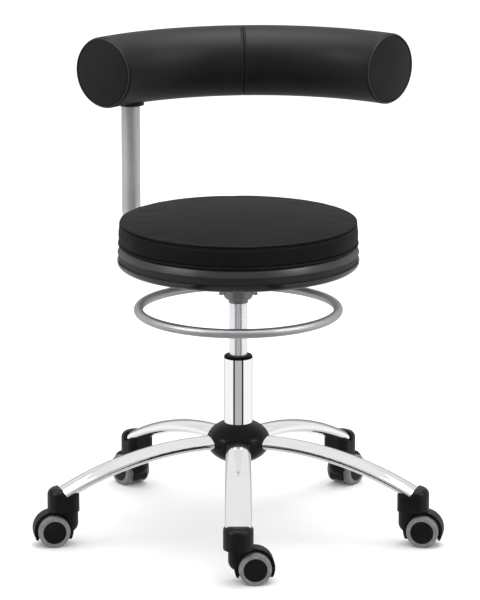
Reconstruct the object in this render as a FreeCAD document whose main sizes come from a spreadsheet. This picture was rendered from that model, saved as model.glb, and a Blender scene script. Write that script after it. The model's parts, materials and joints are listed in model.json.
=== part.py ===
import FreeCAD, Part
import Sketcher
import math
import os
import re

# Swivel stool with a foot-high ring release and a padded roll that circles the seat as back or arm rest.
# Millimetres, +Z up. The origin is on the floor, on the axis of the gas spring; -Y is the front.
Vector = FreeCAD.Vector
Placement = FreeCAD.Placement
Rotation = FreeCAD.Rotation

# Driving dimensions: alias, value.
DIMENSIONS = [
    # star base
    ("hub_level", 142.5), ("hub_radius", 50), ("hub_half_height", 34.5), ("hub_wall", 3),
    ("socket_radius", 28), ("socket_bottom", 117.6), ("socket_top", 166),
    ("leg_width", 40), ("leg_height", 21), ("leg_wall", 1.5), ("leg_start", 28), ("leg_straight_end", 45),
    ("leg_arc_radius", 505), ("leg_end", 293), ("leg_gap", 0.3),
    # outer column of the gas spring
    ("column_radius", 22.4), ("column_wall", 1.5), ("column_top", 277.2), ("column_foot_radius", 19),
    ("column_bottom", 97), ("column_floor", 4),
    ("bushing_bottom", 213.4), ("bushing_lip", 4.5), ("bushing_fillet", 3),
    # gas spring
    ("tube_radius", 14), ("tube_bore", 12.5), ("tube_bottom", 184), ("tube_closed_from", 405),
    ("tube_taper_from", 385), ("tube_top", 429), ("tube_top_radius", 13), ("running_gap", 0.05),
    ("rod_radius", 5), ("rod_bottom", 92), ("rod_top", 272), ("rod_flange_radius", 9), ("rod_flange_bottom", 106.1),
    ("rod_flange_top", 109), ("piston_bottom", 261), ("piston_radius", 12.42), ("guide_height", 15),
    ("bearing_radius", 12), ("bearing_height", 5), ("clip_radius", 9), ("clip_bottom", 94), ("clip_height", 2.5),
    # castors
    ("stem_circle", 278), ("stem_radius", 5.5), ("stem_bottom", 43), ("stem_top", 81),
    ("cap_bottom", 56.3), ("cap_top", 92), ("cap_half_width", 23), ("cap_outer_end", 310.3), ("cap_inner_end", 263),
    ("cap_outer_corner", 22.8), ("cap_inner_corner", 12.5), ("cap_dome", 11), ("cap_mouth", 291),
    ("cap_cradle_drop", 4),
    ("castor_trail", 24), ("wheel_radius", 25), ("disc_radius", 18), ("axle_radius", 4), ("axle_half_length", 20),
    ("neck_radius", 15.5), ("neck_round_level", 34.5), ("housing_top", 55.8), ("hood_radius", 30.8),
    ("hood_half_width", 12), ("hood_bottom", 11), ("well_radius", 27), ("fin_half_width", 3.5),
    ("wheel_inner_face", 4.6), ("wheel_outer_face", 22), ("wheel_dome", 1), ("wheel_floor", 2),
    ("tread_inner_face", 5.2), ("tread_outer_face", 21.8), ("tread_round", 3),
    # seat carrier and release
    ("carrier_bottom", 366), ("carrier_lip_radius", 15.2), ("carrier_step", 371), ("carrier_round", 6.5),
    ("carrier_radius", 22.6),
    ("carrier_flange_radius", 27), ("carrier_flange_bottom", 388.6), ("carrier_flange_top", 390.5),
    ("plate_side", 150), ("plate_bottom", 432), ("plate_top", 436), ("screw_offset", 60), ("screw_radius", 3),
    ("screw_head_radius", 6), ("screw_head_height", 2.8), ("screw_top", 445), ("screw_gap", 0.2),
    ("pivot_level", 381.5), ("pivot_radius", 2.5), ("pivot_inner_end", 17), ("yoke_inner", 23.2), ("yoke_outer", 30),
    ("yoke_height", 8), ("yoke_overlap_angle", 6), ("finger_width", 5), ("finger_height", 6), ("finger_tip", 16),
    ("ring_level", 354.7), ("ring_radius", 155.6), ("ring_tube_radius", 7.2), ("spoke_radius", 3.5),
    ("spoke_spread", 30), ("push_rod_offset", 18.3), ("push_rod_radius", 2.5),
    ("push_rod_top", 436.6), ("push_rod_play", 0.3),
    ("lever_bottom", 437.2), ("lever_height", 4.4), ("lever_front", -5), ("lever_back", 23), ("lever_half_width", 4.6),
    ("lever_pivot_offset", 9.5), ("lever_pin_radius", 1.95), ("lug_inner", 5), ("lug_thickness", 3),
    ("lug_half_depth", 4.5), ("lug_height", 7), ("pin_radius", 2.5), ("pin_bottom", 398), ("pin_top", 436.5),
    # seat
    ("seat_radius", 185.4), ("seat_top", 496), ("cushion_bottom", 447.3), ("cover_wall", 2), ("cushion_edge", 4),
    ("foam_gap", 0.5), ("board_radius", 185.4), ("board_top", 447), ("board_recess_radius", 27),
    ("board_recess_top", 445.2), ("pan_radius", 188), ("pan_bottom", 425), ("pan_wall", 4), ("pan_corner", 9),
    ("pan_hole_radius", 24.5),
    # back roll and its bar
    ("collar_bore_gap", 0.05), ("collar_radius", 33), ("collar_bottom", 390.6), ("collar_top", 419.4),
    ("bar_radius", 15), ("bar_wall", 2), ("bar_level", 405), ("bar_reach", 298.8), ("bar_bend", 60),
    ("bar_angle", 125.4), ("bar_top", 700), ("bar_start", 24),
    ("roll_level", 692), ("roll_radius", 57.1), ("roll_arc_radius", 317), ("roll_centre_x", 31.5),
    ("roll_centre_y", -0.6), ("roll_angle", 92.8), ("roll_turn", 4.67), ("roll_cover_wall", 2.5),
    ("core_radius", 24), ("core_shortening", 4), ("rosette_radius", 22), ("rosette_bottom", 632.5),
]

# Where the five legs point, and which way each castor trails, in degrees from +X.
CASTORS = {
    "front": (270, 5),
    "front_right": (342, -10.5),
    "rear_right": (54, 54),
    "rear_left": (126, 127),
    "front_left": (198, 190.5),
}

doc = FreeCAD.newDocument("stool")
sheet = doc.addObject("Spreadsheet::Sheet", "Dims")
for row, (alias, value) in enumerate(DIMENSIONS, start=1):
    sheet.set(f"A{row}", alias)
    sheet.set(f"B{row}", str(value))
    sheet.setAlias(f"B{row}", alias)
doc.recompute()
ALIASES = {alias for alias, value in DIMENSIONS}
nodes = []


def bound(text):
    """An expression in plain aliases, with each alias pointed at the sheet."""
    return re.sub(r"[a-z_]+", lambda word: "Dims." + word.group() if word.group() in ALIASES else word.group(), text)


def number(text):
    """The present value of an expression in plain aliases."""
    return float(sheet.evalExpression(bound(text)))


def bind(thing, **sizes):
    """Tie properties of a document object to expressions in the sheet's aliases."""
    for name, text in sizes.items():
        thing.setExpression(name, bound(text))
    return thing


def node(thing, label, placement=None):
    """Declare a finished sub-part: its label names its file."""
    thing.Label = label
    if placement is not None:
        thing.Placement = placement
    nodes.append(thing)
    return thing


# ---------------------------------------------------------------- primitives and booleans

def cylinder(radius, length, place=(0, 0, 0), axis=(0, 0, 1)):
    """A cylinder from the point place (expressions) along axis."""
    thing = bind(doc.addObject("Part::Cylinder", "cylinder"), Radius=radius, Height=length)
    thing.Placement = Placement(Vector(*[number(str(value)) for value in place]), Rotation(Vector(0, 0, 1), Vector(*axis)))
    return thing


def box(low, high):
    """A box between two corners given as expressions."""
    sizes = [f"({top}) - ({bottom})" for bottom, top in zip(low, high)]
    thing = bind(doc.addObject("Part::Box", "box"), Length=sizes[0], Width=sizes[1], Height=sizes[2])
    thing.Placement = Placement(Vector(*[number(str(value)) for value in low]), Rotation())
    return thing


def sphere(radius, place):
    thing = bind(doc.addObject("Part::Sphere", "sphere"), Radius=radius)
    thing.Placement = Placement(Vector(*[number(str(value)) for value in place]), Rotation())
    return thing


def ellipsoid(radius, half_height, level):
    """A body of revolution about Z with an elliptical outline."""
    thing = bind(doc.addObject("Part::Ellipsoid", "ellipsoid"), Radius1=half_height, Radius2=radius, Radius3=radius)
    thing.Placement = Placement(Vector(0, 0, number(level)), Rotation())
    return thing


def torus_arc(arc_radius, tube_radius, angle):
    """A bent round bar whose middle points along +Y."""
    thing = bind(doc.addObject("Part::Torus", "torus"), Radius1=arc_radius, Radius2=tube_radius, Angle3=angle)
    thing.Placement = Placement(Vector(), Rotation(Vector(0, 0, 1), 90 - number(angle) / 2))
    return thing


def cut(base, tool):
    thing = doc.addObject("Part::Cut", "cut")
    thing.Base = base
    thing.Tool = tool
    return thing


def fuse(*things):
    thing = doc.addObject("Part::MultiFuse", "fuse")
    thing.Shapes = list(things)
    return thing


def common(*things):
    thing = doc.addObject("Part::MultiCommon", "common")
    thing.Shapes = list(things)
    return thing


def group(things):
    """Several separate solids in one sub-part."""
    thing = doc.addObject("Part::Compound", "group")
    thing.Links = list(things)
    return thing


# ---------------------------------------------------------------- bodies from sketches

def new_body(name):
    return doc.addObject("PartDesign::Body", name)


def sketch_on(body, plane_role, name, offset=None):
    sketch = body.newObject("Sketcher::SketchObject", name)
    plane = next(feature for feature in body.Origin.OriginFeatures if feature.Role == plane_role)
    sketch.AttachmentSupport = [(plane, "")]
    sketch.MapMode = "FlatFace"
    if offset is not None:
        sketch.AttachmentOffset = offset
    return sketch


def place_point(sketch, geometry, end, across, up):
    """Fix one sketch point at two expressions measured from the sketch's origin."""
    for kind, axis, text in (("DistanceX", -2, across), ("DistanceY", -1, up)):
        if text == "0":
            sketch.addConstraint(Sketcher.Constraint("PointOnObject", geometry, end, axis))
            continue
        index = sketch.addConstraint(Sketcher.Constraint(kind, -1, 1, geometry, end, number(text)))
        sketch.setExpression(f"Constraints[{index}]", bound(text))


def draw_outline(sketch, points):
    """A closed outline of straight lines whose corners follow pairs of expressions."""
    corners = [Vector(number(across), number(up), 0) for across, up in points]
    lines = [Part.LineSegment(start, end) for start, end in zip(corners, corners[1:] + corners[:1])]
    first = sketch.addGeometry(lines, False)[0]
    for index in range(len(lines)):
        following = first + (index + 1) % len(lines)
        sketch.addConstraint(Sketcher.Constraint("Coincident", first + index, 2, following, 1))
    for index, (across, up) in enumerate(points):
        place_point(sketch, first + index, 1, across, up)


def revolved(name, points):
    """A body turned about Z from an outline of (radius, height) corners."""
    body = new_body(name)
    sketch = sketch_on(body, "XZ_Plane", name + "_outline")
    draw_outline(sketch, points)
    turn = body.newObject("PartDesign::Revolution", name + "_turn")
    turn.Profile = sketch
    turn.ReferenceAxis = (sketch, ["V_Axis"])
    turn.Angle = 360
    doc.recompute()
    return body


def ring(name, inner, outer, bottom, top):
    return revolved(name, [(inner, bottom), (outer, bottom), (outer, top), (inner, top)])


def edge_names(shape, wanted):
    return [f"Edge{index}" for index, edge in enumerate(shape.Edges, start=1) if wanted(edge)]


def rounded(body, name, radius, wanted):
    """Fillet the edges of a body's tip that a test picks out."""
    doc.recompute()
    tip = body.Tip
    fillet = body.newObject("PartDesign::Fillet", name)
    fillet.Base = (tip, edge_names(tip.Shape, wanted))
    bind(fillet, Radius=radius)
    doc.recompute()
    return body


def circle_at(radius, level):
    """A test for the round edge about Z of that radius at that height."""
    def wanted(edge):
        round_edge = isinstance(edge.Curve, Part.Circle)
        return round_edge and abs(edge.Curve.Radius - radius) < 1e-6 and abs(edge.Curve.Center.z - level) < 1e-6
    return wanted


# ---------------------------------------------------------------- star base

def leg_path(body):
    """The leg's centreline in its own upright plane: a short level run, then one falling arc."""
    start, bend, level = number("leg_start"), number("leg_straight_end"), number("hub_level")
    radius, end = number("leg_arc_radius"), number("leg_end")
    sketch = sketch_on(body, "XZ_Plane", "leg_path")
    run = sketch.addGeometry(Part.LineSegment(Vector(start, level, 0), Vector(bend, level, 0)), False)
    circle = Part.Circle(Vector(bend, level - radius, 0), Vector(0, 0, 1), radius)
    fall = math.acos((end - bend) / radius)
    arc = sketch.addGeometry(Part.ArcOfCircle(circle, fall, math.pi / 2), False)
    place_point(sketch, run, 1, "leg_start", "hub_level")
    place_point(sketch, run, 2, "leg_straight_end", "hub_level")
    sketch.addConstraint(Sketcher.Constraint("Tangent", run, 2, arc, 2))
    size = sketch.addConstraint(Sketcher.Constraint("Radius", arc, radius))
    sketch.setExpression(f"Constraints[{size}]", bound("leg_arc_radius"))
    reach = sketch.addConstraint(Sketcher.Constraint("DistanceX", -1, 1, arc, 1, end))
    sketch.setExpression(f"Constraints[{reach}]", bound("leg_end"))
    return sketch


def leg_section(body, name, inset):
    """An upright oval across the start of the leg, smaller all round by inset."""
    offset = Placement(Vector(0, 0, number("leg_start")), Rotation())
    sketch = sketch_on(body, "YZ_Plane", name, offset)
    half_width, half_height = f"leg_width / 2 - {inset}", f"leg_height / 2 - {inset}"
    level = number("hub_level")
    oval = Part.Ellipse(Vector(number(half_width), level, 0), Vector(0, level + number(half_height), 0),
                        Vector(0, level, 0))
    outline = sketch.addGeometry(oval, False)
    sketch.exposeInternalGeometry(outline)
    place_point(sketch, outline, 3, "0", "hub_level")
    major, minor = outline + 1, outline + 2
    sketch.addConstraint(Sketcher.Constraint("Horizontal", major))
    for line, size in ((major, half_width), (minor, half_height)):
        index = sketch.addConstraint(Sketcher.Constraint("Distance", line, 2 * number(size)))
        sketch.setExpression(f"Constraints[{index}]", bound(f"2 * ({size})"))
    return sketch


def swept(body, name, kind, section, path, edges):
    pipe = body.newObject(kind, name)
    pipe.Profile = section
    pipe.Spine = (path, edges)
    doc.recompute()
    return pipe


def leg(name, hollow, inset="0"):
    """One oval leg along +X; a solid one serves as the cutter for what it passes through."""
    body = new_body(name)
    path = leg_path(body)
    swept(body, "leg_outside", "PartDesign::AdditivePipe", leg_section(body, "outside_oval", inset), path,
          ["Edge1", "Edge2"])
    if hollow:
        swept(body, "leg_bore", "PartDesign::SubtractivePipe", leg_section(body, "inside_oval", "leg_wall"), path,
              ["Edge1", "Edge2"])
    return body


def turned(angle):
    return Placement(Vector(), Rotation(Vector(0, 0, 1), angle))


def legs(name, hollow, inset="0"):
    copies = []
    for angle, trail in CASTORS.values():
        copy = leg(name, hollow, inset)
        copy.Placement = turned(angle)
        copies.append(copy)
    return copies


def at_stem(thing, angle, level):
    """Moves a thing built on the Z axis to the stem axis of the leg that points that way."""
    thing.Placement = turned(angle) * Placement(Vector(number("stem_circle"), 0, number(level)), Rotation())
    return thing


def legs_with_stem_holes():
    drilled = []
    for angle, tube in zip([angle for angle, trail in CASTORS.values()], legs("leg", True)):
        hole = at_stem(cylinder("stem_radius", "stem_top - cap_bottom", (0, 0, "cap_bottom")), angle, "cap_bottom")
        drilled.append(cut(tube, hole))
    return drilled


def build_star_base():
    node(ring("hub_socket", "column_radius", "socket_radius - 0.2", "socket_bottom", "socket_top"), "hub_socket")
    node(group(legs_with_stem_holes()), "star_legs")
    ball = ellipsoid("hub_radius", "hub_half_height", "hub_level")
    hollow = ellipsoid("hub_radius - hub_wall", "hub_half_height - hub_wall", "hub_level")
    shell = cut(ball, hollow)
    openings = fuse(*legs("leg_opening", False, "-leg_gap"))
    shell = cut(shell, openings)
    upper_space = box(("-60", "-60", "hub_level + 0.1"), ("60", "60", "hub_level + 60"))
    column_hole = cylinder("column_radius + 0.1", "60", (0, 0, "hub_level"))
    node(cut(common(shell, upper_space), column_hole), "hub_cover_upper")
    lower_space = box(("-60", "-60", "hub_level - 60"), ("60", "60", "hub_level - 0.1"))
    foot_hole = cylinder("column_foot_radius + 0.2", "60", (0, 0, "hub_level - 60"))
    node(cut(common(shell, lower_space), foot_hole), "hub_cover_lower")


def cap_mouth_cutter():
    """What is cut off a leg end cap: everything above the cradle and inward of the oblique mouth."""
    bend, radius = number("leg_straight_end"), number("leg_arc_radius")
    mouth, top = number("cap_mouth"), number("cap_top")
    slope = math.asin((mouth - bend) / radius)
    outward = Vector(math.cos(slope), 0, -math.sin(slope))
    upward = Vector(math.sin(slope), 0, math.cos(slope))
    centre = Vector(mouth, 0, number("hub_level") - radius + radius * math.cos(slope))
    lip = Vector(mouth, 0, top)
    depth = (lip - centre).dot(upward) + number("cap_cradle_drop")
    heel = lip - upward * depth
    reach = number("cap_outer_end - cap_inner_end")
    corners = [lip + upward * reach, heel, heel - outward * reach, heel - outward * reach + upward * 2 * reach]
    half = number("cap_half_width") + 5
    face = Part.Face(Part.makePolygon([corner - Vector(0, half, 0) for corner in corners + corners[:1]]))
    wedge = doc.addObject("Part::Feature", "cap_mouth_wedge")
    wedge.Shape = face.extrude(Vector(0, 2 * half, 0))
    return wedge


def leg_end_cap():
    """A cap along +X: a rounded block that the leg dives into, with a bore for the castor stem."""
    body = new_body("cap_block")
    level = Placement(Vector(0, 0, number("cap_bottom")), Rotation())
    sketch = sketch_on(body, "XY_Plane", "cap_plan", level)
    draw_outline(sketch, [("cap_inner_end", "-cap_half_width"), ("cap_outer_end", "-cap_half_width"),
                          ("cap_outer_end", "cap_half_width"), ("cap_inner_end", "cap_half_width")])
    pad = body.newObject("PartDesign::Pad", "cap_height")
    pad.Profile = sketch
    bind(pad, Length="cap_top - cap_bottom")
    doc.recompute()
    inner_end, outer_end, top = number("cap_inner_end"), number("cap_outer_end"), number("cap_top")

    def upright_at(end):
        def wanted(edge):
            box_of_edge = edge.BoundBox
            return box_of_edge.ZLength > 1 and abs(box_of_edge.XMin - end) < 0.01 and box_of_edge.XLength < 0.01
        return wanted

    rounded(body, "cap_outer_corners", "cap_outer_corner", upright_at(outer_end))
    rounded(body, "cap_inner_corners", "cap_inner_corner", upright_at(inner_end))
    rounded(body, "cap_dome_edge", "cap_dome", lambda edge: abs(edge.BoundBox.ZMin - top) < 0.01)
    bore = cylinder("stem_radius", "stem_top - cap_bottom", ("stem_circle", 0, "cap_bottom"))
    channel = leg("cap_channel", False)
    return cut(cut(cut(body, channel), cap_mouth_cutter()), bore)


def build_leg_ends():
    caps = []
    stems = []
    for angle, trail in CASTORS.values():
        cap = leg_end_cap()
        cap.Placement = turned(angle)
        caps.append(cap)
        stem = cylinder("stem_radius", "stem_top - stem_bottom", (0, 0, "stem_bottom"))
        stems.append(at_stem(stem, angle, "stem_bottom"))
    node(group(caps), "leg_end_caps")
    node(group(stems), "castor_stems")


# ---------------------------------------------------------------- castors

def castor_housing():
    """Neck, hood and middle fin in one moulding, trailing towards +X from the stem axis."""
    axle = ("castor_trail", "wheel_radius")
    neck = fuse(cylinder("neck_radius", "housing_top - neck_round_level", (0, 0, "neck_round_level")),
                sphere("neck_radius", (0, 0, "neck_round_level")))
    drum = cylinder("hood_radius", "2 * hood_half_width", (axle[0], "hood_half_width", axle[1]), (0, -1, 0))
    above = box(("-50", "-50", "hood_bottom"), ("80", "50", "80"))
    solid = fuse(neck, common(drum, above))
    for side in (1, -1):
        well = cylinder("well_radius", "30", (axle[0], f"{side} * fin_half_width", axle[1]), (0, side, 0))
        solid = cut(solid, well)
    level_top = box(("-80", "-80", "housing_top"), ("80", "80", "120"))
    stem_bore = cylinder("stem_radius + running_gap", "housing_top - stem_bottom + 0.5", (0, 0, "stem_bottom - 0.5"))
    axle_bore = cylinder("axle_radius", "20", (axle[0], "10", axle[1]), (0, -1, 0))
    return cut(cut(cut(solid, level_top), stem_bore), axle_bore)


def build_castors():
    stem_circle, trail_length = number("stem_circle"), number("castor_trail")
    axle_level = number("wheel_radius")
    for name, (angle, trail) in CASTORS.items():
        at_stem = Placement(turned(angle).multVec(Vector(stem_circle, 0, 0)), Rotation(Vector(0, 0, 1), trail))
        node(castor_housing(), "castor_housing_" + name, at_stem)
        axle = cylinder("axle_radius", "2 * axle_half_length")
        along_axle = Placement(Vector(trail_length, number("axle_half_length"), axle_level),
                               Rotation(Vector(1, 0, 0), 90))
        node(axle, "castor_axle_" + name, at_stem * along_axle)
        for side, tilt in (("left", -90), ("right", 90)):
            at_axle = at_stem * Placement(Vector(trail_length, 0, axle_level), Rotation(Vector(1, 0, 0), tilt))
            disc = revolved("wheel_disc", [
                ("axle_radius + running_gap", "wheel_inner_face"), ("disc_radius", "wheel_inner_face"),
                ("disc_radius", "wheel_outer_face"), ("0", "wheel_outer_face + wheel_dome"),
                ("0", "axle_half_length + running_gap"), ("axle_radius + running_gap", "axle_half_length + running_gap"),
            ])
            node(disc, f"wheel_{name}_{side}", at_axle)
            tread = ring("wheel_tread", "disc_radius", "wheel_radius", "tread_inner_face", "tread_outer_face")
            outer = number("wheel_radius")
            rounded(tread, "tread_shoulders", "tread_round",
                    lambda edge: isinstance(edge.Curve, Part.Circle) and abs(edge.Curve.Radius - outer) < 1e-6)
            node(tread, f"tread_{name}_{side}", at_axle)


# ---------------------------------------------------------------- gas spring

def build_gas_spring():
    bore, foot = "column_radius - column_wall", "column_foot_radius - column_wall"
    step, floor_top = "socket_bottom", "column_bottom + column_floor"
    column = revolved("column_tube", [
        ("rod_radius + running_gap", "column_bottom"), ("column_foot_radius", "column_bottom"),
        ("column_foot_radius", step), ("column_radius", f"{step} + 6"), ("column_radius", "column_top"),
        (bore, "column_top"), (bore, f"{step} + 6"), (foot, step), (foot, floor_top),
        ("rod_radius + running_gap", floor_top),
    ])
    node(column, "column_tube")
    lip_top = "column_top + bushing_lip"
    bushing = revolved("column_bushing", [
        ("tube_radius + running_gap", "bushing_bottom"), (bore, "bushing_bottom"), (bore, "column_top"),
        ("column_radius", "column_top"), ("column_radius", lip_top), ("tube_radius + running_gap", lip_top),
    ])
    rounded(bushing, "bushing_round", "bushing_fillet", circle_at(number("column_radius"), number(lip_top)))
    node(bushing, "column_bushing")
    node(ring("thrust_bearing", "rod_radius + running_gap", "bearing_radius", floor_top,
              f"{floor_top} + bearing_height"), "thrust_bearing")

    rod = revolved("gas_rod", [
        ("0", "rod_bottom"), ("rod_radius", "rod_bottom"), ("rod_radius", "rod_flange_bottom"),
        ("rod_flange_radius", "rod_flange_bottom"), ("rod_flange_radius", "rod_flange_top"),
        ("rod_radius", "rod_flange_top"), ("rod_radius", "rod_top"), ("0", "rod_top"),
    ])
    node(rod, "gas_rod")
    node(ring("gas_piston", "rod_radius", "piston_radius", "piston_bottom", "rod_top"), "gas_piston")
    node(ring("rod_clip", "rod_radius", "clip_radius", "clip_bottom", "clip_bottom + clip_height"), "rod_clip")

    tube = revolved("pressure_tube", [
        ("tube_bore", "tube_bottom"), ("tube_radius", "tube_bottom"), ("tube_radius", "tube_taper_from"),
        ("tube_top_radius", "tube_top"), ("pin_radius + running_gap", "tube_top"),
        ("pin_radius + running_gap", "tube_closed_from"), ("tube_bore", "tube_closed_from"),
    ])
    node(tube, "pressure_tube")
    node(ring("rod_guide", "rod_radius + running_gap", "tube_bore", "tube_bottom", "tube_bottom + guide_height"),
         "rod_guide")
    node(cylinder("pin_radius", "pin_top - pin_bottom", (0, 0, "pin_bottom")), "release_pin")


# ---------------------------------------------------------------- seat carrier and ring release

def build_carrier():
    carrier = revolved("carrier", [
        ("tube_radius", "carrier_bottom"), ("carrier_lip_radius", "carrier_bottom"),
        ("carrier_lip_radius", "carrier_step"), ("carrier_radius", "carrier_step"),
        ("carrier_radius", "carrier_flange_bottom"),
        ("carrier_flange_radius", "carrier_flange_bottom"), ("carrier_flange_radius", "carrier_flange_top"),
        ("carrier_radius", "carrier_flange_top"), ("carrier_radius", "plate_top"), ("tube_top_radius", "plate_top"),
        ("tube_top_radius", "tube_top"), ("tube_radius", "tube_taper_from"),
    ])
    rounded(carrier, "carrier_bowl", "carrier_round",
            circle_at(number("carrier_radius"), number("carrier_step")))
    half = "plate_side / 2"
    plate = box((f"-{half}", f"-{half}", "plate_bottom"), (half, half, "plate_top"))
    plate = cut(plate, cylinder("tube_top_radius + 2", "plate_top - plate_bottom", (0, 0, "plate_bottom")))
    lugs = []
    for side in (1, -1):
        near, far = f"{side} * lug_inner", f"{side} * (lug_inner + lug_thickness)"
        low, high = (near, far) if side > 0 else (far, near)
        lugs.append(box((low, "lever_pivot_offset - lug_half_depth", "plate_top"),
                        (high, "lever_pivot_offset + lug_half_depth", "plate_top + lug_height")))
    solid = fuse(carrier, plate, *lugs)
    lever_level = "lever_bottom + lever_height / 2"
    reach = "lug_inner + lug_thickness + 2"
    solid = cut(solid, cylinder("lever_pin_radius + running_gap", f"2 * ({reach})",
                                (f"-({reach})", "lever_pivot_offset", lever_level), (1, 0, 0)))
    solid = cut(solid, cylinder("push_rod_radius + running_gap", "80", (0, "push_rod_offset", "pivot_level")))
    slot_half = "finger_width / 2 + 0.5"
    solid = cut(solid, box((f"-({slot_half})", "finger_tip - 0.8", "pivot_level - finger_height"),
                           (slot_half, "carrier_radius + 1", "pivot_level + finger_height")))
    for side in (1, -1):
        bore = cylinder("pivot_radius + running_gap", "carrier_radius",
                        (f"{side} * (pivot_inner_end - running_gap)", 0, "pivot_level"), (side, 0, 0))
        solid = cut(solid, bore)
    screws = []
    for x_side in (1, -1):
        for y_side in (1, -1):
            x_place, y_place = f"{x_side} * screw_offset", f"{y_side} * screw_offset"
            solid = cut(solid, cylinder("screw_radius + screw_gap", "10", (x_place, y_place, "plate_bottom - 1")))
            shank = cylinder("screw_radius", "screw_top - plate_bottom", (x_place, y_place, "plate_bottom"))
            head = cylinder("screw_head_radius", "screw_head_height",
                            (x_place, y_place, "plate_bottom - screw_head_height"))
            screws.append(fuse(shank, head))
    node(solid, "seat_carrier")
    node(group(screws), "carrier_screws")


def build_release():
    yoke_bottom, yoke_top = "pivot_level - yoke_height / 2", "pivot_level + yoke_height / 2"
    yoke_angle = "180 + 2 * yoke_overlap_angle"
    outer = bind(cylinder("yoke_outer", "yoke_height", (0, 0, yoke_bottom)), Angle=yoke_angle)
    outer.Placement.Rotation = Rotation(Vector(0, 0, 1), -number("yoke_overlap_angle"))
    solid = cut(outer, cylinder("yoke_inner", "yoke_height", (0, 0, yoke_bottom)))
    pieces = [solid]
    for side in (1, -1):
        pieces.append(cylinder("pivot_radius", "yoke_outer - pivot_inner_end - 1",
                               (f"{side} * pivot_inner_end", 0, "pivot_level"), (side, 0, 0)))
    half = "finger_width / 2"
    pieces.append(box((f"-{half}", "finger_tip", "pivot_level - finger_height / 2"),
                      (half, "yoke_inner + 1", "pivot_level + finger_height / 2")))
    pieces.append(bind(doc.addObject("Part::Torus", "torus"), Radius1="ring_radius", Radius2="ring_tube_radius"))
    pieces[-1].Placement = Placement(Vector(0, 0, number("ring_level")), Rotation())
    inner = number("yoke_inner + yoke_outer") / 2
    rise = Vector(number("ring_radius") - inner, 0, number("ring_level - pivot_level"))
    for turn in (-1, 0, 1):
        heading = turned(90 + turn * number("spoke_spread"))
        spoke = bind(doc.addObject("Part::Cylinder", "spoke"), Radius="spoke_radius")
        spoke.Height = rise.Length
        spoke.Placement = Placement(heading.multVec(Vector(inner, 0, number("pivot_level"))),
                                    Rotation(Vector(0, 0, 1), heading.multVec(rise)))
        pieces.append(spoke)
    node(fuse(*pieces), "release_ring")
    rod_bottom = "pivot_level + finger_height / 2 + push_rod_play"
    node(cylinder("push_rod_radius", f"push_rod_top - ({rod_bottom})", (0, "push_rod_offset", rod_bottom)), "push_rod")
    bar = box(("-lever_half_width", "lever_front", "lever_bottom"),
              ("lever_half_width", "lever_back", "lever_bottom + lever_height"))
    reach = "lug_inner + lug_thickness"
    pin = cylinder("lever_pin_radius", f"2 * ({reach})",
                   (f"-({reach})", "lever_pivot_offset", "lever_bottom + lever_height / 2"), (1, 0, 0))
    node(fuse(bar, pin), "release_lever")


# ---------------------------------------------------------------- seat

def build_seat():
    pan = revolved("seat_pan", [
        ("pan_hole_radius", "pan_bottom"), ("pan_radius", "pan_bottom"), ("pan_radius", "plate_top"),
        ("pan_radius - pan_wall", "plate_top"), ("pan_radius - pan_wall", "pan_bottom + pan_wall"),
        ("pan_hole_radius", "pan_bottom + pan_wall"),
    ])
    rounded(pan, "pan_outer_corner", "pan_corner", circle_at(number("pan_radius"), number("pan_bottom")))
    rounded(pan, "pan_inner_corner", "pan_corner - pan_wall",
            circle_at(number("pan_radius - pan_wall"), number("pan_bottom + pan_wall")))
    node(pan, "seat_pan")
    board = revolved("board_disc", [
        ("0", "board_recess_top"), ("board_recess_radius", "board_recess_top"), ("board_recess_radius", "plate_top"),
        ("board_radius", "plate_top"), ("board_radius", "board_top"), ("0", "board_top"),
    ])
    screw_holes = [cylinder("screw_radius", "screw_top - plate_top", (f"{x} * screw_offset", f"{y} * screw_offset",
                                                                      "plate_top"))
                   for x in (1, -1) for y in (1, -1)]
    node(cut(board, fuse(*screw_holes)), "seat_board")
    foam_radius, foam_top = "seat_radius - cover_wall - foam_gap", "seat_top - cover_wall - foam_gap"
    foam_bottom = "cushion_bottom + cover_wall + foam_gap"
    node(revolved("seat_foam", [("0", foam_bottom), (foam_radius, foam_bottom), (foam_radius, foam_top),
                                ("0", foam_top)]), "seat_foam")
    inner, inner_bottom, inner_top = "seat_radius - cover_wall", "cushion_bottom + cover_wall", "seat_top - cover_wall"
    cover = revolved("cover_block", [("0", "cushion_bottom"), ("seat_radius", "cushion_bottom"),
                                    ("seat_radius", "seat_top"), ("0", "seat_top")])
    rounded(cover, "cushion_round", "cushion_edge", circle_at(number("seat_radius"), number("seat_top")))
    space = cylinder(inner, f"{inner_top} - ({inner_bottom})", (0, 0, inner_bottom))
    node(cut(cover, space), "seat_cover")


# ---------------------------------------------------------------- back roll

def bar_path(body):
    """Level out from the swivel collar, one bend, then straight up into the roll."""
    level, reach, bend = number("bar_level"), number("bar_reach"), number("bar_bend")
    start, top = number("bar_start"), number("bar_top")
    sketch = sketch_on(body, "XZ_Plane", "bar_path")
    run = sketch.addGeometry(Part.LineSegment(Vector(start, level, 0), Vector(reach - bend, level, 0)), False)
    circle = Part.Circle(Vector(reach - bend, level + bend, 0), Vector(0, 0, 1), bend)
    arc = sketch.addGeometry(Part.ArcOfCircle(circle, 1.5 * math.pi, 2 * math.pi), False)
    post = sketch.addGeometry(Part.LineSegment(Vector(reach, level + bend, 0), Vector(reach, top, 0)), False)
    sketch.addConstraint(Sketcher.Constraint("Tangent", run, 2, arc, 1))
    sketch.addConstraint(Sketcher.Constraint("Tangent", arc, 2, post, 1))
    sketch.addConstraint(Sketcher.Constraint("Horizontal", run))
    sketch.addConstraint(Sketcher.Constraint("Vertical", post))
    place_point(sketch, run, 1, "bar_start", "bar_level")
    place_point(sketch, post, 2, "bar_reach", "bar_top")
    size = sketch.addConstraint(Sketcher.Constraint("Radius", arc, bend))
    sketch.setExpression(f"Constraints[{size}]", bound("bar_bend"))
    return sketch


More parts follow.
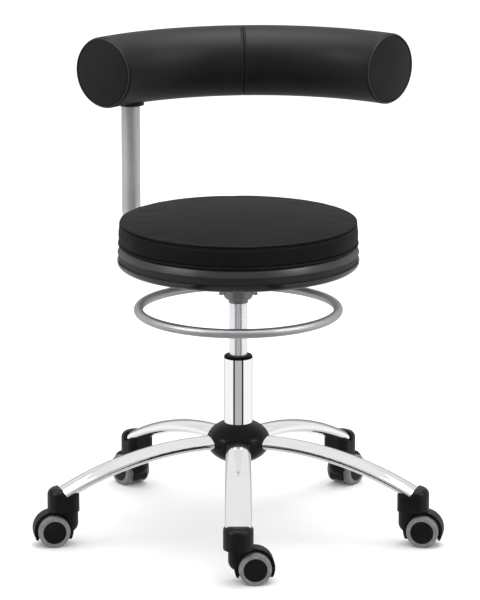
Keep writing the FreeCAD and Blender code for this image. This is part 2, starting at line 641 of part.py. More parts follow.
def bar_section(body, name, radius):
    offset = Placement(Vector(0, 0, number("bar_start")), Rotation())
    sketch = sketch_on(body, "YZ_Plane", name, offset)
    circle = Part.Circle(Vector(0, number("bar_level"), 0), Vector(0, 0, 1), number(radius))
    outline = sketch.addGeometry(circle, False)
    place_point(sketch, outline, 3, "0", "bar_level")
    size = sketch.addConstraint(Sketcher.Constraint("Radius", outline, number(radius)))
    sketch.setExpression(f"Constraints[{size}]", bound(radius))
    return sketch


def build_back():
    node(ring("swivel_collar", "carrier_radius + collar_bore_gap", "collar_radius", "collar_bottom", "collar_top"),
         "swivel_collar")
    bar = new_body("bar_tube")
    path = bar_path(bar)
    edges = ["Edge1", "Edge2", "Edge3"]
    swept(bar, "bar_outside", "PartDesign::AdditivePipe", bar_section(bar, "outside_circle", "bar_radius"), path, edges)
    swept(bar, "bar_bore", "PartDesign::SubtractivePipe", bar_section(bar, "inside_circle", "bar_radius - bar_wall"),
          path, edges)
    collar_space = cylinder("collar_radius", "60", (0, 0, "bar_level - 30"))
    heading = turned(number("bar_angle"))
    node(cut(bar, collar_space), "back_bar", heading)

    bar_foot = heading.multVec(Vector(number("bar_reach"), 0, 0))

    def upright(radius, bottom, top):
        thing = bind(doc.addObject("Part::Cylinder", "upright"), Radius=radius, Height=f"({top}) - ({bottom})")
        thing.Placement = Placement(bar_foot + Vector(0, 0, number(bottom)), Rotation())
        return thing

    in_place = Placement(Vector(number("roll_centre_x"), number("roll_centre_y"), number("roll_level")),
                         Rotation(Vector(0, 0, 1), number("roll_turn")))

    def roll(radius, angle):
        thing = torus_arc("roll_arc_radius", radius, angle)
        thing.Placement = in_place * thing.Placement
        return thing

    inner = "roll_radius - roll_cover_wall"
    cover_angle = "roll_angle - 360 * roll_cover_wall / (pi * roll_arc_radius)"
    foam_radius = f"{inner} - foam_gap"
    foam_angle = f"{cover_angle} - 0.2"
    core_angle = "roll_angle - core_shortening"
    bar_hole = "bar_radius + foam_gap"
    core = cut(roll("core_radius", core_angle), upright("bar_radius", "roll_level - 80", "bar_top"))
    node(core, "roll_core")
    foam = cut(roll(foam_radius, foam_angle), roll("core_radius + foam_gap", f"{core_angle} + 0.4"))
    node(cut(foam, upright(bar_hole, "roll_level - 80", "roll_level")), "roll_foam")
    cover = cut(roll("roll_radius", "roll_angle"), roll(inner, cover_angle))
    node(cut(cover, upright(bar_hole, "roll_level - 80", "roll_level")), "roll_cover")
    rosette = cut(upright("rosette_radius", "rosette_bottom", "roll_level"), roll("roll_radius + 0.2", "roll_angle"))
    node(cut(rosette, upright("bar_radius", "rosette_bottom - 5", "roll_level")), "bar_rosette")


def check_and_export():
    doc.recompute()
    failed = [thing.Name for thing in doc.Objects if {"Invalid", "Error"} & set(thing.State)]
    if failed:
        raise RuntimeError(f"failed objects: {failed}")
    os.makedirs("parts", exist_ok=True)
    for thing in nodes:
        shape = thing.Shape
        if shape.isNull() or not shape.isValid() or not shape.Solids:
            raise RuntimeError(f"{thing.Label} has no valid solid")
        shape.exportStep(f"parts/{thing.Label}.step")
        print(f"{thing.Label}: {len(shape.Solids)} solids, {shape.Volume / 1000:.2f} cm3")
    print(f"{len(nodes)} sub-parts")


build_star_base()
build_leg_ends()
build_castors()
build_gas_spring()
build_carrier()
build_release()
build_seat()
build_back()
check_and_export()
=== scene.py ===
"""A round work stool with a padded back roll: everything that shows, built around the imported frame.

Lengths are in metres. +Z is up, the front leg points along -Y, and the stool stands on z = 0.
"""
import json
import math

import bmesh
import bpy
from mathutils import Matrix, Vector, kdtree


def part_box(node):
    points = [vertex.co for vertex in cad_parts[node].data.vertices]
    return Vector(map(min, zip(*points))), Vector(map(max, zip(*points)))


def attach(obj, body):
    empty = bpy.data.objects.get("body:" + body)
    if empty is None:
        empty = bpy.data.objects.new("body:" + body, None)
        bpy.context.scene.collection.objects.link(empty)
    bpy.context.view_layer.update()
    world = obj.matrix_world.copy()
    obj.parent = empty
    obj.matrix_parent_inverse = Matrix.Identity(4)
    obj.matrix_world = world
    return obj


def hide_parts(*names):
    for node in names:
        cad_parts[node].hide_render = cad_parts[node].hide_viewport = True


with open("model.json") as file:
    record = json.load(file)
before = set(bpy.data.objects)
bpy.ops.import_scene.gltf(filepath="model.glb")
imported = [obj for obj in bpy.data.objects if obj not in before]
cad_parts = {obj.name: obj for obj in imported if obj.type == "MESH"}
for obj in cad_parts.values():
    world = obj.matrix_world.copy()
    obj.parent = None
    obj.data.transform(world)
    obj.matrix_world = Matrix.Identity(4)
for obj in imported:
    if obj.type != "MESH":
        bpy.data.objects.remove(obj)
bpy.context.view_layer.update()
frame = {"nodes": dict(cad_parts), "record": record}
scene = bpy.context.scene
MM = 0.001

# ---------------------------------------------------------------- places taken from the frame

cover_low, cover_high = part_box("seat_cover")
pan_low, pan_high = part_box("seat_pan")
board_low, board_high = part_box("seat_board")
SEAT_RADIUS = (cover_high.x - cover_low.x) / 2
SEAT_TOP = cover_high.z
PAN_RADIUS = (pan_high.x - pan_low.x) / 2
BAND_BOTTOM = board_high.z
BEAD_LEVEL = BAND_BOTTOM + 15 * MM
CUSHION_BOTTOM = BEAD_LEVEL + 2.4 * MM
TOPSTITCH_DROP = 5 * MM

roll_low, roll_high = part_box("roll_cover")
ROLL_RADIUS = (roll_high.z - roll_low.z) / 2
ROLL_LEVEL = (roll_high.z + roll_low.z) / 2
ROLL_ARC_RADIUS = 317 * MM
ROLL_CENTRE = Vector((31.5 * MM, -0.6 * MM, ROLL_LEVEL))
ROLL_SPREAD = math.radians(92.8)
ROLL_MIDDLE = math.radians(94.67)


# ---------------------------------------------------------------- mesh helpers

def spread(first, last, count):
    """count + 1 evenly spaced values from first to last."""
    return [first + (last - first) * step / count for step in range(count + 1)]


def arc(centre, radius, start, end, count):
    """Points of an arc in a (radius, height) outline; the angles are in degrees."""
    turns = [math.radians(turn) for turn in spread(start, end, count)]
    return [(centre[0] + radius * math.cos(turn), centre[1] + radius * math.sin(turn)) for turn in turns]


def mesh_piece(name, points, faces):
    mesh = bpy.data.meshes.new(name)
    mesh.from_pydata(points, [], faces)
    shape = bmesh.new()
    shape.from_mesh(mesh)
    bmesh.ops.remove_doubles(shape, verts=shape.verts, dist=1e-7)
    bmesh.ops.recalc_face_normals(shape, faces=shape.faces)
    shape.to_mesh(mesh)
    shape.free()
    mesh.polygons.foreach_set("use_smooth", [True] * len(mesh.polygons))
    piece = bpy.data.objects.new(name, mesh)
    scene.collection.objects.link(piece)
    return piece


def skin(name, place, outline, around, closed_outline=False):
    """A surface swept round an axis: place(a, b, turn) puts outline point (a, b) at that turn, in radians.

    An open outline starts and ends on the axis, so it makes a closed form.
    """
    points = []
    for a, b in outline:
        points += [place(a, b, 2 * math.pi * step / around) for step in range(around)]
    faces = []
    rows = len(outline)
    for row in range(rows if closed_outline else rows - 1):
        here, after = row * around, (row + 1) % rows * around
        for step in range(around):
            beside = (step + 1) % around
            faces.append((here + step, here + beside, after + beside, after + step))
    if not closed_outline:
        faces.append(tuple(range(around)))
        faces.append(tuple(range((rows - 1) * around, rows * around)))
    return mesh_piece(name, points, faces)


def on_seat_axis(radius, height, turn):
    return (radius * math.cos(turn), radius * math.sin(turn), height)


def on_roll(along, radius, turn):
    """A point of the roll: along its bent axis from the middle, out from it, and round it from the top."""
    heading = ROLL_MIDDLE - along / ROLL_ARC_RADIUS
    reach = ROLL_ARC_RADIUS + radius * math.sin(turn)
    return (ROLL_CENTRE.x + reach * math.cos(heading), ROLL_CENTRE.y + reach * math.sin(heading),
            ROLL_CENTRE.z + radius * math.cos(turn))


def groove(depth, half_width, steps=3):
    """(offset along, depth) pairs across a pulled-in seam."""
    pairs = []
    for offset in spread(-half_width, half_width, 2 * steps):
        pairs.append((offset, depth * 0.5 * (1 + math.cos(math.pi * offset / half_width))))
    return pairs


def stitches(name, route, count, length, thickness):
    """Short thread stitches; route(t) gives (point, direction, outward) for t from 0 to 1."""
    sides, rings = 6, [(-0.5, 0.35), (-0.38, 0.9), (0, 1), (0.38, 0.9), (0.5, 0.35)]
    points, faces = [], []
    for index in range(count):
        centre, direction, outward = route((index + 0.5) / count)
        across = direction.cross(outward).normalized()
        first = len(points)
        for offset, size in rings:
            sink = abs(offset) * thickness
            for side in range(sides):
                turn = 2 * math.pi * side / sides
                points.append(centre + direction * (offset * length) - outward * sink
                              + (across * math.cos(turn) + outward * math.sin(turn)) * (size * thickness / 2))
        for ring in range(len(rings) - 1):
            for side in range(sides):
                beside = (side + 1) % sides
                a, b = first + ring * sides, first + (ring + 1) * sides
                faces.append((a + side, a + beside, b + beside, b + side))
        faces.append(tuple(first + side for side in range(sides)))
        faces.append(tuple(first + (len(rings) - 1) * sides + side for side in range(sides)))
    return mesh_piece(name, points, faces)


# ---------------------------------------------------------------- stuffing

def puff(piece, voxel, pressure, most, is_held):
    """Fills a remeshed copy of the piece with air as cloth, and moves the piece's own points as it went."""
    bag = piece.copy()
    bag.data = piece.data.copy()
    scene.collection.objects.link(bag)
    remesh = bag.modifiers.new("remesh", "REMESH")
    remesh.mode = "VOXEL"
    remesh.voxel_size = voxel
    bpy.context.view_layer.update()
    cloth_mesh = bpy.data.meshes.new_from_object(bag.evaluated_get(bpy.context.evaluated_depsgraph_get()))
    bag.modifiers.clear()
    bag.data = cloth_mesh
    before = [vertex.co.copy() for vertex in cloth_mesh.vertices]
    held = bag.vertex_groups.new(name="held")
    held.add([index for index, place in enumerate(before) if is_held(place)], 1, "REPLACE")
    cloth = bag.modifiers.new("cloth", "CLOTH")
    settings = cloth.settings
    settings.quality = 6
    settings.mass = 0.2
    settings.tension_stiffness = 25
    settings.compression_stiffness = 25
    settings.shear_stiffness = 12
    settings.bending_stiffness = 6
    settings.use_pressure = True
    settings.uniform_pressure_force = pressure
    settings.vertex_group_mass = "held"
    settings.effector_weights.gravity = 0
    cloth.point_cache.frame_start = 1
    cloth.point_cache.frame_end = 20
    for number in range(1, 21):
        scene.frame_set(number)
    after = bag.evaluated_get(bpy.context.evaluated_depsgraph_get()).data
    moves = [vertex.co - start for vertex, start in zip(after.vertices, before)]
    largest = max(move.length for move in moves)
    scale = most / largest if largest > most else 1
    tree = kdtree.KDTree(len(before))
    for index, place in enumerate(before):
        tree.insert(place, index)
    tree.balance()
    for vertex in piece.data.vertices:
        near = tree.find_n(vertex.co, 12)
        weights = [1 / (distance + voxel) for place, index, distance in near]
        shares = [moves[index] * weight for (place, index, distance), weight in zip(near, weights)]
        move = sum(shares, Vector())
        vertex.co += move * (scale / sum(weights))
    bpy.data.objects.remove(bag)
    scene.frame_set(1)


# ---------------------------------------------------------------- materials

def add(tree, kind, **values):
    """A new node. A name in values is one of its settings; one with a space or capital is an input."""
    made = tree.nodes.new(kind)
    for name, value in values.items():
        if hasattr(made, name):
            setattr(made, name, value)
        else:
            made.inputs[name.replace("_", " ")].default_value = value
    return made


def link(tree, output, target):
    tree.links.new(output, target)


def calc(tree, operation, *values):
    made = tree.nodes.new("ShaderNodeMath")
    made.operation = operation
    for slot, value in zip(made.inputs, values):
        if isinstance(value, (int, float)):
            slot.default_value = value
        else:
            link(tree, value, slot)
    return made.outputs[0]


def ramp(tree, value, low, high, out_low=0.0, out_high=1.0):
    made = tree.nodes.new("ShaderNodeMapRange")
    made.interpolation_type = "SMOOTHSTEP"
    link(tree, value, made.inputs["Value"])
    for name, number in (("From Min", low), ("From Max", high), ("To Min", out_low), ("To Max", out_high)):
        made.inputs[name].default_value = number
    return made.outputs["Result"]


def noise(tree, coordinates, scale, detail=2.0, roughness=0.5):
    made = add(tree, "ShaderNodeTexNoise")
    link(tree, coordinates, made.inputs["Vector"])
    made.inputs["Scale"].default_value = scale
    made.inputs["Detail"].default_value = detail
    made.inputs["Roughness"].default_value = roughness
    return made.outputs["Fac"]


def stretched(tree, coordinates, scale):
    made = add(tree, "ShaderNodeMapping")
    link(tree, coordinates, made.inputs["Vector"])
    made.inputs["Scale"].default_value = scale
    return made.outputs["Vector"]


def blend_colours(tree, amount, first, second):
    made = add(tree, "ShaderNodeMix", data_type="RGBA")
    link(tree, amount, made.inputs["Factor"])
    for slot, colour in (("A", first), ("B", second)):
        target = [put for put in made.inputs if put.name == slot and put.type == "RGBA"][0]
        target.default_value = (*colour, 1)
    return [out for out in made.outputs if out.type == "RGBA"][0]


def start_material(name, metallic=0.0, specular=0.5, coat=0.0, coat_roughness=0.1):
    material = bpy.data.materials.new(name)
    material.use_nodes = True
    tree = material.node_tree
    shader = tree.nodes["Principled BSDF"]
    shader.inputs["Metallic"].default_value = metallic
    shader.inputs["Specular IOR Level"].default_value = specular
    shader.inputs["Coat Weight"].default_value = coat
    shader.inputs["Coat Roughness"].default_value = coat_roughness
    coordinates = add(tree, "ShaderNodeTexCoord").outputs["Object"]
    return material, tree, shader, coordinates


def dress(tree, shader, colour, roughness, height=None, strength=0.2, distance=0.1 * MM):
    link(tree, colour, shader.inputs["Base Color"])
    link(tree, roughness, shader.inputs["Roughness"])
    if height is not None:
        bump = add(tree, "ShaderNodeBump")
        bump.inputs["Strength"].default_value = strength
        bump.inputs["Distance"].default_value = distance
        link(tree, height, bump.inputs["Height"])
        link(tree, bump.outputs["Normal"], shader.inputs["Normal"])


def leatherette(name="leatherette", dark=(0.0045, 0.0045, 0.0043), light=(0.0075, 0.0074, 0.0068),
                specular=0.14):
    """Fine pebbled imitation leather with a soft satin face."""
    material, tree, shader, place = start_material(name, specular=specular)
    pebbles = add(tree, "ShaderNodeTexVoronoi", feature="SMOOTH_F1")
    pebbles.inputs["Scale"].default_value = 850
    pebbles.inputs["Smoothness"].default_value = 0.6
    link(tree, place, pebbles.inputs["Vector"])
    grain = pebbles.outputs["Distance"]
    creases = noise(tree, place, 420, 4, 0.6)
    height = calc(tree, "ADD", calc(tree, "MULTIPLY", grain, -0.7), calc(tree, "MULTIPLY", creases, 0.6))
    mottle = noise(tree, place, 14, 3)
    colour = blend_colours(tree, ramp(tree, mottle, 0.3, 0.7), dark, light)
    wear = calc(tree, "ADD", calc(tree, "MULTIPLY", mottle, 0.7), calc(tree, "MULTIPLY", grain, 0.3))
    rough = ramp(tree, wear, 0.2, 0.8, 0.42, 0.52)
    dress(tree, shader, colour, rough, height, 0.35, 0.12 * MM)
    return material


def thread():
    """Twisted black sewing thread."""
    material, tree, shader, place = start_material("thread", specular=0.35)
    strands = add(tree, "ShaderNodeTexWave", bands_direction="DIAGONAL")
    strands.inputs["Scale"].default_value = 900
    link(tree, place, strands.inputs["Vector"])
    colour = blend_colours(tree, strands.outputs["Fac"], (0.012, 0.012, 0.012), (0.03, 0.03, 0.029))
    rough = ramp(tree, strands.outputs["Fac"], 0, 1, 0.5, 0.62)
    dress(tree, shader, colour, rough, strands.outputs["Fac"], 0.5)
    return material


def chrome(name, tint, low, high):
    """Polished plating with a faint haze where hands and cloths have been."""
    material, tree, shader, place = start_material(name, metallic=1.0)
    haze = noise(tree, place, 22, 5, 0.6)
    darker = tuple(0.96 * part for part in tint)
    colour = blend_colours(tree, ramp(tree, haze, 0.35, 0.75), tint, darker)
    dress(tree, shader, colour, ramp(tree, haze, 0.3, 0.8, low, high), noise(tree, place, 160, 2), 0.02)
    return material


def satin_metal(name, light, dark, low=0.3, high=0.4, grain=(900, 900, 900)):
    """Bead-blasted and plated metal: dull, with a very fine even grain."""
    material, tree, shader, place = start_material(name, metallic=1.0)
    speckle = noise(tree, stretched(tree, place, grain), 1.0, 3, 0.7)
    cloud = noise(tree, place, 18, 3)
    both = calc(tree, "ADD", calc(tree, "MULTIPLY", speckle, 0.5), calc(tree, "MULTIPLY", cloud, 0.5))
    colour = blend_colours(tree, ramp(tree, both, 0.3, 0.7), dark, light)
    dress(tree, shader, colour, ramp(tree, both, 0.3, 0.7, low, high), speckle, 0.12, 0.05 * MM)
    return material


def plastic(name, dark, light, low, high, specular, grain=1400, strength=0.15):
    """Moulded plastic: an even fine texture from the mould and slightly uneven gloss."""
    material, tree, shader, place = start_material(name, specular=specular)
    texture = noise(tree, place, grain, 2, 0.6)
    cloud = noise(tree, place, 30, 3)
    colour = blend_colours(tree, ramp(tree, cloud, 0.3, 0.7), dark, light)
    dress(tree, shader, colour, ramp(tree, cloud, 0.3, 0.7, low, high), texture, strength, 0.06 * MM)
    return material


def rubber_tread():
    """Grey soft tread, a little paler where it has rubbed on the floor."""
    material, tree, shader, place = start_material("tread", specular=0.3)
    cloud = noise(tree, place, 90, 4, 0.65)
    colour = blend_colours(tree, ramp(tree, cloud, 0.3, 0.75), (0.13, 0.13, 0.13), (0.19, 0.19, 0.19))
    dress(tree, shader, colour, ramp(tree, cloud, 0.3, 0.7, 0.5, 0.7), noise(tree, place, 1200, 3), 0.3)
    return material


def wood(name, dark, light):
    """Plywood with long grain along X."""
    material, tree, shader, place = start_material(name, specular=0.3)
    fibres = noise(tree, stretched(tree, place, (12, 160, 160)), 1.0, 5, 0.65)
    colour = blend_colours(tree, ramp(tree, fibres, 0.3, 0.7), dark, light)
    dress(tree, shader, colour, ramp(tree, fibres, 0.3, 0.7, 0.5, 0.7), fibres, 0.2)
    return material


def foam():
    material, tree, shader, place = start_material("foam", specular=0.2)
    cells = add(tree, "ShaderNodeTexVoronoi")
    cells.inputs["Scale"].default_value = 1200
    link(tree, place, cells.inputs["Vector"])
    colour = blend_colours(tree, cells.outputs["Distance"], (0.55, 0.5, 0.36), (0.72, 0.68, 0.54))
    rough = ramp(tree, cells.outputs["Distance"], 0, 1, 0.85, 0.95)
    dress(tree, shader, colour, rough, cells.outputs["Distance"], 0.6)
    return material


SLOT_MATERIALS = {
    "chrome": chrome("chrome", (0.93, 0.93, 0.94), 0.03, 0.07),
    "satin_metal": satin_metal("satin_metal", (0.60, 0.60, 0.60), (0.50, 0.50, 0.50)),
    "dark_steel": satin_metal("dark_steel", (0.26, 0.26, 0.27), (0.17, 0.17, 0.18), 0.34, 0.5),
    "plain_steel": satin_metal("plain_steel", (0.56, 0.56, 0.57), (0.45, 0.45, 0.46), 0.25, 0.38,
                               (300, 300, 2500)),
    "black_gloss_plastic": plastic("gloss_plastic", (0.003, 0.003, 0.003), (0.004, 0.004, 0.004), 0.22, 0.3,
                                   0.12, 600, 0.04),
    "black_plastic": plastic("black_plastic", (0.003, 0.003, 0.003), (0.005, 0.005, 0.005), 0.34, 0.44, 0.14),
    "black_board": wood("black_board", (0.004, 0.004, 0.004), (0.012, 0.012, 0.011)),
    "grey_tread": rubber_tread(),
    "seal_rubber": plastic("seal_rubber", (0.01, 0.01, 0.01), (0.016, 0.016, 0.016), 0.55, 0.7, 0.3),
    "black_leatherette": leatherette(),
    "foam": foam(),
    "wood": wood("beech", (0.42, 0.28, 0.15), (0.62, 0.46, 0.28)),
}
THREAD = thread()
SEAT_LEATHERETTE = leatherette("seat_leatherette", (0.0045, 0.0045, 0.0043), (0.0068, 0.0067, 0.006), 0.04)
# The welts' leather is paler and warmer than the roll's: a painted highlight along the edges of the end
# discs.
WELT_PAINTED_HIGHLIGHT = leatherette("welt_leatherette_painted_highlight", (0.016, 0.0145, 0.012), (0.024, 0.022, 0.018), 0.4)
BAND_PLASTIC = plastic("band_plastic", (0.014, 0.014, 0.014), (0.018, 0.018, 0.018), 0.36, 0.42,
                       0.42, 1600, 0.03)

# Nodes whose finish differs from the rest of their slot.
NODE_MATERIALS = {
    "pressure_tube": chrome("tube_chrome", (0.84, 0.83, 0.87), 0.24, 0.3),
    "seat_pan": plastic("pan_gloss", (0.004, 0.004, 0.004), (0.006, 0.006, 0.006), 0.12, 0.18,
                        0.5, 600, 0.03),
    "release_ring": satin_metal("ring_metal", (0.44, 0.44, 0.45), (0.36, 0.36, 0.37), 0.42, 0.5),
    "back_bar": satin_metal("bar_metal", (0.52, 0.52, 0.52), (0.44, 0.44, 0.44), 0.5, 0.58),
    "column_bushing": plastic("bushing_plastic", (0.002, 0.002, 0.002), (0.003, 0.003, 0.003), 0.4, 0.5,
                              0.04),
}


def finish_with(piece, material):
    piece.data.materials.clear()
    piece.data.materials.append(material)


for row in frame["record"]["subparts"]:
    own = NODE_MATERIALS.get(row["node"])
    finish_with(frame["nodes"][row["node"]], own or SLOT_MATERIALS[row["material_slot"]])


# ---------------------------------------------------------------- seat

def settle(piece, body, material, levels=0):
    """The last step for a new piece: smooth it, give it its finish, and let it ride on its body."""
    if levels:
        smooth = piece.modifiers.new("smooth", "SUBSURF")
        smooth.levels = levels
        smooth.render_levels = levels
    finish_with(piece, material)
    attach(piece, body)
    return piece


def cushion_outline():
    """From the middle of the underside, out, up the side band, over the top seam, and in along the top."""
    low, seam = CUSHION_BOTTOM, SEAT_TOP - 2.2 * MM
    side, corner, crown = SEAT_RADIUS, 3 * MM, 2.5 * MM
    outline = [(radius, low) for radius in spread(2 * MM, side - corner - 1 * MM, 14)]
    outline += arc((side - corner, low + corner), corner, -80, 0, 5)
    lowest, highest = low + corner + 1 * MM, seam - TOPSTITCH_DROP - 1.8 * MM
    for height in spread(lowest, highest, 12):
        share = (height - lowest) / (highest - lowest)
        outline.append((side + 0.5 * MM * math.sin(math.pi * share), height))
    stitched = seam - TOPSTITCH_DROP
    outline += [(side - depth, stitched + offset) for offset, depth in groove(1.1 * MM, 1.2 * MM)]
    outline += [(side + 0.2 * MM, seam - TOPSTITCH_DROP / 2)]
    outline += [(side - depth, seam + offset) for offset, depth in groove(2.4 * MM, 1.1 * MM)]
    outline += arc((side - 2 * MM, seam + 1 * MM), 1.7 * MM, 10, 90, 5)
    edge, level = side - 3 * MM, seam + 2.7 * MM
    for radius in spread(edge, 2 * MM, 30):
        outline.append((radius, level + crown * (1 - (radius / edge) ** 2)))
    return outline


def build_cushion():
    cushion = skin("seat_cushion", on_seat_axis, cushion_outline(), 192)
    puff(cushion, 5 * MM, 4, 4 * MM, lambda place: place.z < CUSHION_BOTTOM + 4 * MM)
    settle(cushion, "seat", SEAT_LEATHERETTE, 1)
    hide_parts("seat_cover", "seat_foam")
    return cushion


def surface_radius(piece, level):
    """How far out the piece's side is at that height, averaged all round."""
    ring = [vertex.co.xy.length for vertex in piece.data.vertices if abs(vertex.co.z - level) < 1.5 * MM]
    side = [radius for radius in ring if radius > SEAT_RADIUS - 4 * MM]
    return sum(side) / len(side)


def build_seat_trim(cushion):
    level = SEAT_TOP - 2.2 * MM - TOPSTITCH_DROP
    radius = surface_radius(cushion, level) + 0.2 * MM

    def round_the_side(share):
        turn = 2 * math.pi * share
        outward = Vector((math.cos(turn), math.sin(turn), 0))
        return outward * radius + Vector((0, 0, level)), Vector((-math.sin(turn), math.cos(turn), 0)), outward

    row = stitches("seat_topstitch", round_the_side, 290, 3.1 * MM, 0.7 * MM)
    settle(row, "seat", THREAD)
    bead_radius = 2.7 * MM
    outline = arc((SEAT_RADIUS - 1.4 * MM, BEAD_LEVEL), bead_radius, 0, 337.5, 15)
    bead = skin("seat_bead", on_seat_axis, outline, 192, closed_outline=True)
    settle(bead, "seat", SEAT_LEATHERETTE)
    top, low = BEAD_LEVEL - 3.6 * MM, BAND_BOTTOM + 0.2 * MM
    outline = arc((SEAT_RADIUS - 3.4 * MM, top - 1.2 * MM), 1.2 * MM, 90, 20, 4)
    outline += arc((SEAT_RADIUS + 1.2 * MM, low + 0.8 * MM), 0.8 * MM, 15, -90, 5)
    outline += [(SEAT_RADIUS - 20 * MM, low), (SEAT_RADIUS - 20 * MM, top)]
    band = skin("seat_lower_band", on_seat_axis, outline, 192, closed_outline=True)
    settle(band, "seat", BAND_PLASTIC)


# ---------------------------------------------------------------- back roll

HALF_ROLL = ROLL_ARC_RADIUS * ROLL_SPREAD / 2
TOPSTITCH_SIDE = 3.5 * MM


def roll_outline():
    """From the middle of one end disc, over its seam, along the roll and its middle seam, to the far end."""
    corner, crown = 3.5 * MM, 4.5 * MM
    disc = [(-HALF_ROLL - crown * (1 - (radius / ROLL_RADIUS) ** 2), radius)
            for radius in spread(1.5 * MM, ROLL_RADIUS - corner - 1.2 * MM, 12)]
    rim = [(-HALF_ROLL + 0.6 * MM, ROLL_RADIUS - corner),
           (-HALF_ROLL + 1.2 * MM, ROLL_RADIUS - corner + 0.8 * MM),
           (-HALF_ROLL + 0.5 * MM, ROLL_RADIUS - corner + 1.5 * MM)]
    rim += [(-HALF_ROLL + 0.3 * MM + 3 * MM * (1 - math.cos(math.radians(turn))),
             ROLL_RADIUS - 2 * MM + 2 * MM * math.sin(math.radians(turn))) for turn in spread(10, 90, 5)]
    start = -HALF_ROLL + 5 * MM
    tube = [(along, ROLL_RADIUS) for along in spread(start, -6.5 * MM, 42)]
    stitched = [(offset - TOPSTITCH_SIDE, ROLL_RADIUS - depth) for offset, depth in groove(0.9 * MM, 1 * MM)]
    half = disc + rim + tube + stitched + [(-TOPSTITCH_SIDE / 2, ROLL_RADIUS + 0.2 * MM)]
    seam = [(offset, ROLL_RADIUS - depth) for offset, depth in groove(2 * MM, 1 * MM)]
    return half + seam + [(-a, r) for a, r in reversed(half)]


def build_roll():
    roll = skin("back_roll", on_roll, roll_outline(), 120)
    bar_low, bar_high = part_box("bar_rosette")
    entry = (bar_low + bar_high) / 2

    def is_held(place):
        return (place - entry).length < 30 * MM

    puff(roll, 5 * MM, 4, 2.5 * MM, is_held)
    settle(roll, "back_rest", SLOT_MATERIALS["black_leatherette"], 1)
    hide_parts("roll_cover", "roll_foam")
    return roll


def roll_route(along, radius):
    """A stitch row round the roll at that distance from its middle."""
    def route(share):
        turn = 2 * math.pi * share
        here = Vector(on_roll(along, radius, turn))
        beside = Vector(on_roll(along, radius, turn + 0.01))
        out = Vector(on_roll(along, radius + 1 * MM, turn))
        return here, (beside - here).normalized(), (out - here).normalized()
    return route


def build_roll_trim():
    for side, name in ((-1, "left"), (1, "right")):
        route = roll_route(side * TOPSTITCH_SIDE, ROLL_RADIUS - 0.3 * MM)
        row = stitches(f"roll_topstitch_{name}", route, 92, 3 * MM, 0.7 * MM)
        settle(row, "back_rest", THREAD)
        middle = (side * (HALF_ROLL + 0.3 * MM), ROLL_RADIUS - 2.6 * MM)
        welt = skin(f"roll_welt_{name}", on_roll, arc(middle, 0.9 * MM, 0, 324, 9), 120, closed_outline=True)
        # The paler welt leather is a painted highlight on the disc's edge.
        settle(welt, "back_rest", WELT_PAINTED_HIGHLIGHT)


cushion = build_cushion()
build_seat_trim(cushion)
build_roll()
build_roll_trim()


# ---------------------------------------------------------------- floor, light and camera

def build_floor():
    size = 14
    floor = mesh_piece("floor", [(-size, -size, 0), (size, -size, 0), (size, size, 0), (-size, size, 0)],
                       [(0, 1, 2, 3)])
    material, tree, shader, place = start_material("floor_paint", specular=0.1)
    cloud = noise(tree, place, 0.6, 2)
    colour = blend_colours(tree, cloud, (0.93, 0.93, 0.93), (0.95, 0.95, 0.95))
    dress(tree, shader, colour, ramp(tree, cloud, 0.3, 0.7, 0.8, 0.9))
    finish_with(floor, material)
    floor.visible_glossy = False


def build_reflector():
    """A round panel over the base that glows downwards. It shows only in reflections, and only from below."""
    radius, level, brightness, corners = 320 * MM, 310 * MM, 0.86, 64
    rim = [on_seat_axis(radius, level, -2 * math.pi * step / corners) for step in range(corners)]
    mesh = bpy.data.meshes.new("reflector")
    mesh.from_pydata(rim, [], [tuple(range(corners))])
    panel = bpy.data.objects.new("reflector", mesh)
    scene.collection.objects.link(panel)
    material = bpy.data.materials.new("reflector_white")
    material.use_nodes = True
    tree = material.node_tree
    tree.nodes.clear()
    glow = add(tree, "ShaderNodeEmission")
    glow.inputs["Strength"].default_value = brightness
    one_sided = add(tree, "ShaderNodeMixShader")
    link(tree, add(tree, "ShaderNodeNewGeometry").outputs["Backfacing"], one_sided.inputs[0])
    link(tree, glow.outputs[0], one_sided.inputs[1])
    link(tree, add(tree, "ShaderNodeBsdfTransparent").outputs[0], one_sided.inputs[2])
    link(tree, one_sided.outputs[0], add(tree, "ShaderNodeOutputMaterial").inputs["Surface"])
    finish_with(panel, material)
    panel.visible_camera = False
    panel.visible_diffuse = False
    panel.visible_transmission = False
    panel.visible_shadow = False


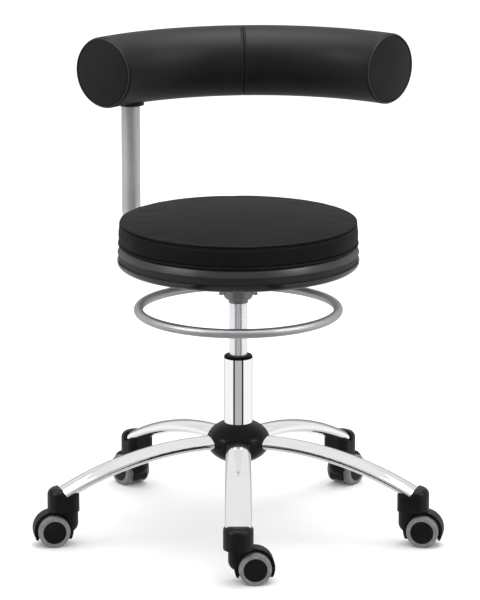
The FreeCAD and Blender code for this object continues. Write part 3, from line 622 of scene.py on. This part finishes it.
def build_world():
    """A white studio. Polished metal also shows the panels and gaps that a photographer sets up in it.

    Azimuths are in degrees from the front, heights in degrees over the horizon.
    """
    plain_light, low_light, high_light = 1.25, 0.74, 6.0
    behind_light, front_light = 0.4, 0.62
    gap_light, gap_azimuth, lean_from, lean_rate = 0.03, 34.5, -14, 0.28
    lamp_light, lamp_azimuth, lamp_height = 22.0, 64, 32
    world = bpy.data.worlds.new("studio")
    scene.world = world
    world.use_nodes = True
    world.cycles.sampling_method = "NONE"
    tree = world.node_tree
    tree.nodes.clear()
    direction = add(tree, "ShaderNodeSeparateXYZ")
    link(tree, add(tree, "ShaderNodeTexCoord").outputs["Generated"], direction.inputs[0])
    east, north, up = direction.outputs
    to_degrees = 180 / math.pi
    heading = calc(tree, "ARCTAN2", east, calc(tree, "MULTIPLY", north, -1))
    side = calc(tree, "ABSOLUTE", calc(tree, "MULTIPLY", heading, to_degrees))
    height = calc(tree, "MULTIPLY", calc(tree, "ARCSINE", up), to_degrees)

    def band(value, middle, half, soft):
        distance = calc(tree, "ABSOLUTE", calc(tree, "SUBTRACT", value, middle))
        return ramp(tree, distance, half - soft, half + soft, 1, 0)

    def paint(under, mask, brightness):
        return calc(tree, "ADD", calc(tree, "MULTIPLY", under, calc(tree, "SUBTRACT", 1, mask)),
                    calc(tree, "MULTIPLY", mask, brightness))

    low = ramp(tree, height, -60, -22, low_light, plain_light)
    light = calc(tree, "MULTIPLY", low, ramp(tree, height, 0, 40, 1, 0.75))
    light = paint(light, ramp(tree, height, 46, 66), high_light)
    behind = calc(tree, "MULTIPLY", ramp(tree, side, 130, 160), ramp(tree, height, -30, -10))
    light = paint(light, calc(tree, "MULTIPLY", behind, ramp(tree, height, 5, 20, 1, 0)), behind_light)
    front = calc(tree, "MULTIPLY", band(side, 0, 34, 2), band(height, -5, 38, 12))
    light = paint(light, front, front_light)
    below_lean = calc(tree, "SUBTRACT", lean_from, height)
    lean = calc(tree, "MAXIMUM", 0, calc(tree, "MULTIPLY", below_lean, lean_rate))
    leaning_side = calc(tree, "SUBTRACT", side, lean)
    gap = calc(tree, "MULTIPLY", band(leaning_side, gap_azimuth, 7, 1.5), band(height, -22, 40, 3))
    light = paint(light, gap, gap_light)
    lamp = calc(tree, "MULTIPLY", band(side, lamp_azimuth, 9, 4), band(height, lamp_height, 8, 4))
    light = paint(light, lamp, lamp_light)
    seen = add(tree, "ShaderNodeBackground")
    link(tree, light, seen.inputs["Strength"])
    plain = add(tree, "ShaderNodeBackground")
    plain.inputs["Color"].default_value = (1, 1, 1, 1)
    plain.inputs["Strength"].default_value = plain_light
    path = add(tree, "ShaderNodeLightPath")
    mix = add(tree, "ShaderNodeMixShader")
    link(tree, path.outputs["Is Glossy Ray"], mix.inputs[0])
    link(tree, plain.outputs[0], mix.inputs[1])
    link(tree, seen.outputs[0], mix.inputs[2])
    link(tree, mix.outputs[0], add(tree, "ShaderNodeOutputWorld").inputs["Surface"])


def softbox(name, place, target, size, power):
    light = bpy.data.lights.new(name, "AREA")
    light.shape = "SQUARE"
    light.size = size
    light.energy = power
    holder = bpy.data.objects.new(name, light)
    holder.location = place
    holder.rotation_euler = (Vector(target) - Vector(place)).to_track_quat("-Z", "Y").to_euler()
    scene.collection.objects.link(holder)


def build_camera():
    data = bpy.data.cameras.new("camera")
    data.sensor_fit = "VERTICAL"
    data.sensor_height = 36
    data.lens = 210.5
    data.shift_x = 0.0028
    data.clip_end = 100
    camera = bpy.data.objects.new("camera", data)
    camera.location = (0, -5.302, 1.672)
    camera.rotation_euler = (math.radians(76.194), 0, 0)
    scene.collection.objects.link(camera)
    scene.camera = camera


build_floor()
build_reflector()
build_world()
softbox("overhead", (0.3, 0.4, 3.2), (0, 0, 0.3), 2.2, 45)
build_camera()
scene.view_settings.view_transform = "Standard"
